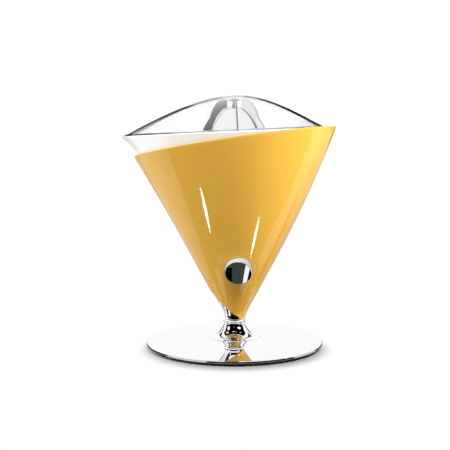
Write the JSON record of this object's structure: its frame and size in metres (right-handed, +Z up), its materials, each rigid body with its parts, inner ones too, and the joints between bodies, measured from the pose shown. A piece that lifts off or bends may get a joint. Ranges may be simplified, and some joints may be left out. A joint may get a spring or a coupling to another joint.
{
  "type": "electric citrus juicer",
  "caption": "Electric citrus juicer: a slender coloured cone on a chrome disc base, with a push button, pouring bowl, strainer, finned reamer and clear domed lid.",
  "frame": {"origin": "on the body's axis, on the plane of the rubber ring that the juicer stands on", "axes": "+Z up along the body's axis, -Y towards the push button, -X towards the pouring spout"},
  "size_m": [0.2388, 0.2321, 0.2834],
  "materials": {
    "chrome": "mirror polished",
    "yellow_gloss": "high gloss",
    "bowl_white": "gloss",
    "lid_clear": "clear, polished",
    "reamer_polish": "polished steel",
    "core_white": "moulded",
    "strainer_steel": "brushed",
    "foot_rubber": "matte",
    "black_plastic": "fine texture",
    "grey_plastic": "moulded",
    "cream_plastic": "moulded",
    "board_green": "lacquered",
    "gear_nylon": "moulded",
    "motor_steel": "plated",
    "zinc_steel": "zinc plated",
    "spring_steel": "drawn",
    "bronze": "sintered",
    "copper": "enamelled wire"
  },
  "bodies": {
    "root": {"foot_ring": "foot_rubber", "base_plate": "chrome", "base_cover": "black_plastic", "cover_screws": "zinc_steel", "lead_gland": "foot_rubber", "pedestal": "chrome", "pedestal_screws": "zinc_steel", "neck_ring": "chrome", "lower_cone": "chrome", "neck_nut": "zinc_steel", "chassis": "grey_plastic", "outer_sleeve": "yellow_gloss", "button_guide": "black_plastic", "button_spring": "spring_steel", "power_switch": "cream_plastic", "control_board": "board_green", "motor_can": "motor_steel", "motor_cap": "black_plastic", "motor_bushes": "bronze", "stator_core": "motor_steel", "stator_windings": "copper", "motor_screws": "zinc_steel", "gearbox_plate": "zinc_steel", "plate_screws": "zinc_steel", "idler_pin": "spring_steel", "start_switch": "cream_plastic", "deck": "grey_plastic", "deck_screws": "zinc_steel", "shaft_spring": "spring_steel", "shaft_seal": "foot_rubber"},
    "button": {"button": "chrome"},
    "bearing": {"sliding_bearing": "bronze"},
    "drive": {"drive_shaft": "spring_steel", "shaft_circlip": "zinc_steel", "output_gear": "gear_nylon"},
    "reamer": {"reamer": "reamer_polish", "reamer_core": "core_white"},
    "idler": {"idler_gear": "gear_nylon"},
    "rotor": {"motor_rotor": "motor_steel", "motor_pinion": "bronze"},
    "bowl": {"bowl": "bowl_white"},
    "strainer": {"strainer": "strainer_steel"},
    "lid": {"lid": "lid_clear"}
  },
  "joints": [
    {"name": "button_press", "type": "slide", "parent": "root", "child": "button", "axis": [0, 0.883, 0.4694], "range_m": [0, 0.002], "stiffness_N_per_m": 800, "springref_m": -0.003, "deforming": ["button_spring"]},
    {"name": "shaft_press", "type": "slide", "parent": "root", "child": "bearing", "axis": [0, 0, -1], "range_m": [0, 0.002], "stiffness_N_per_m": 2500, "springref_m": -0.004, "deforming": ["shaft_spring"]},
    {"name": "drive_spin", "type": "hinge", "parent": "bearing", "child": "drive", "pos_m": [0, 0, 0.2], "axis": [0, 0, 1], "continuous": true},
    {"name": "reamer_lift", "type": "slide", "parent": "drive", "child": "reamer", "axis": [0, 0, 1], "range_m": [0, 0.15]},
    {"name": "idler_spin", "type": "hinge", "parent": "root", "child": "idler", "pos_m": [0.032, 0, 0.18], "axis": [0, 0, 1], "continuous": true},
    {"name": "rotor_spin", "type": "hinge", "parent": "root", "child": "rotor", "pos_m": [0, 0, 0.14], "axis": [0, 0, 1], "continuous": true},
    {"name": "bowl_lift", "type": "slide", "parent": "root", "child": "bowl", "axis": [0, 0, 1], "range_m": [0, 0.15]},
    {"name": "strainer_lift", "type": "slide", "parent": "bowl", "child": "strainer", "axis": [0, 0, 1], "range_m": [0, 0.1]},
    {"name": "lid_lift", "type": "slide", "parent": "strainer", "child": "lid", "axis": [0, 0, 1], "range_m": [0, 0.12]}
  ],
  "couplings": [
    {"joint": "idler_spin", "follows": "drive_spin", "ratio": -3.7059},
    {"joint": "rotor_spin", "follows": "drive_spin", "ratio": 13.734},
    {"joint": "reamer_lift", "follows": "bowl_lift", "ratio": 1}
  ]
}
